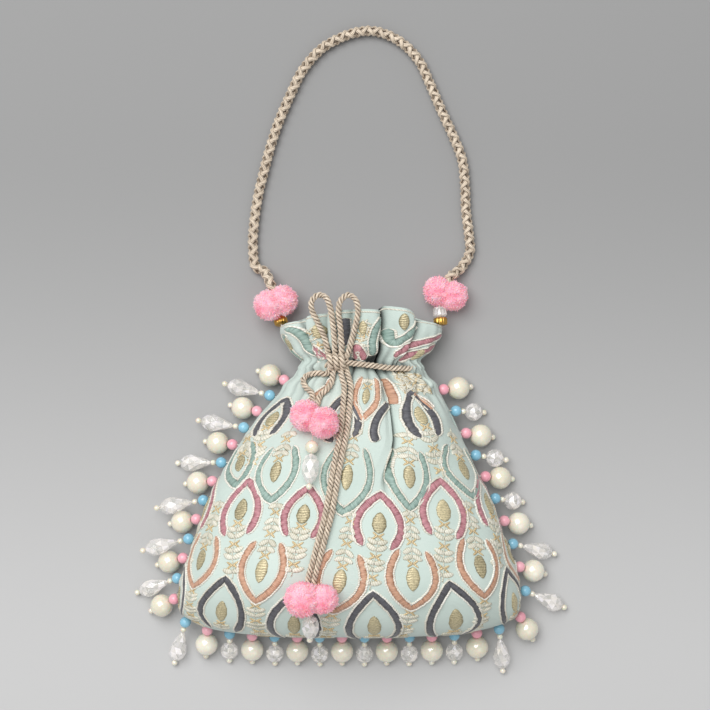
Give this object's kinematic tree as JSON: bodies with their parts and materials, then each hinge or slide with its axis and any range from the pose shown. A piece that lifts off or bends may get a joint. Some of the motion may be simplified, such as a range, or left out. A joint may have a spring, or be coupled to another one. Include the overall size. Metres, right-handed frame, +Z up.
{
  "type": "potli bag",
  "caption": "Drawstring potli pouch lying on its back, with a gathered neck, fluted frill, braided loop handle, tasselled tie and a fringe of bead strands; holds small things.",
  "frame": {"origin": "on the flat of the back panel, where the bag rests on the surface, about a third of the way up the pouch", "axes": "+X across the bag, +Y from the bottom seam towards the neck and handle, +Z up out of the front panel"},
  "size_m": [0.2181, 0.3265, 0.0707],
  "materials": {
    "embroidered_cloth": "pale mint woven cloth with multicoloured thread embroidery, matt with a slight sheen",
    "drawstring_cord": "twisted champagne dori cord with a silky sheen",
    "braid_cord": "thick braided champagne cord, silky",
    "pompom_yarn": "fluffy trimmed pink yarn",
    "pearl_beads": "ivory pearl lustre, with a small pink bead by the seam",
    "crystal_beads": "clear faceted crystal, with a small blue bead by the seam",
    "gold_bead": "antique gold, glossy"
  },
  "bodies": {
    "root": {"bow_knot": "drawstring_cord", "bow_loop_left": "drawstring_cord", "bow_loop_right": "drawstring_cord", "fringe_01_pearl": "pearl_beads", "fringe_02_drop": "crystal_beads", "fringe_03_pearl": "pearl_beads", "fringe_04_drop": "crystal_beads", "fringe_05_pearl": "pearl_beads", "fringe_06_drop": "crystal_beads", "fringe_07_pearl": "pearl_beads", "fringe_08_drop": "crystal_beads", "fringe_09_pearl": "pearl_beads", "fringe_10_drop": "crystal_beads", "fringe_11_pearl": "pearl_beads", "fringe_12_drop": "crystal_beads", "fringe_13_pearl": "pearl_beads", "fringe_14_drop": "crystal_beads", "fringe_15_pearl": "pearl_beads", "fringe_16_round": "crystal_beads", "fringe_17_pearl": "pearl_beads", "fringe_18_round": "crystal_beads", "fringe_19_pearl": "pearl_beads", "fringe_20_round": "crystal_beads", "fringe_21_pearl": "pearl_beads", "fringe_22_round": "crystal_beads", "fringe_23_pearl": "pearl_beads", "fringe_24_round": "crystal_beads", "fringe_25_pearl": "pearl_beads", "fringe_26_round": "crystal_beads", "fringe_27_pearl": "pearl_beads", "fringe_28_drop": "crystal_beads", "fringe_29_pearl": "pearl_beads", "fringe_30_drop": "crystal_beads", "fringe_31_pearl": "pearl_beads", "fringe_32_drop": "crystal_beads", "fringe_33_pearl": "pearl_beads", "fringe_34_round": "crystal_beads", "fringe_35_pearl": "pearl_beads", "fringe_36_round": "crystal_beads", "fringe_37_pearl": "pearl_beads", "fringe_38_round": "crystal_beads", "fringe_39_pearl": "pearl_beads", "handle_braid": "braid_cord", "handle_crystal_right": "crystal_beads", "handle_gold_bead_left": "gold_bead", "handle_gold_bead_right": "gold_bead", "handle_pompoms_left": "pompom_yarn", "handle_pompoms_right": "pompom_yarn", "neck_drawstring": "drawstring_cord", "pouch_back_panel": "embroidered_cloth", "pouch_front_panel": "embroidered_cloth", "tail_long_left": "drawstring_cord", "tail_long_right": "drawstring_cord", "tail_short_left": "drawstring_cord", "tail_short_right": "drawstring_cord", "tassel_long_drop": "crystal_beads", "tassel_long_pompoms": "pompom_yarn", "tassel_short_drop": "crystal_beads", "tassel_short_pompoms": "pompom_yarn"}
  },
  "joints": []
}
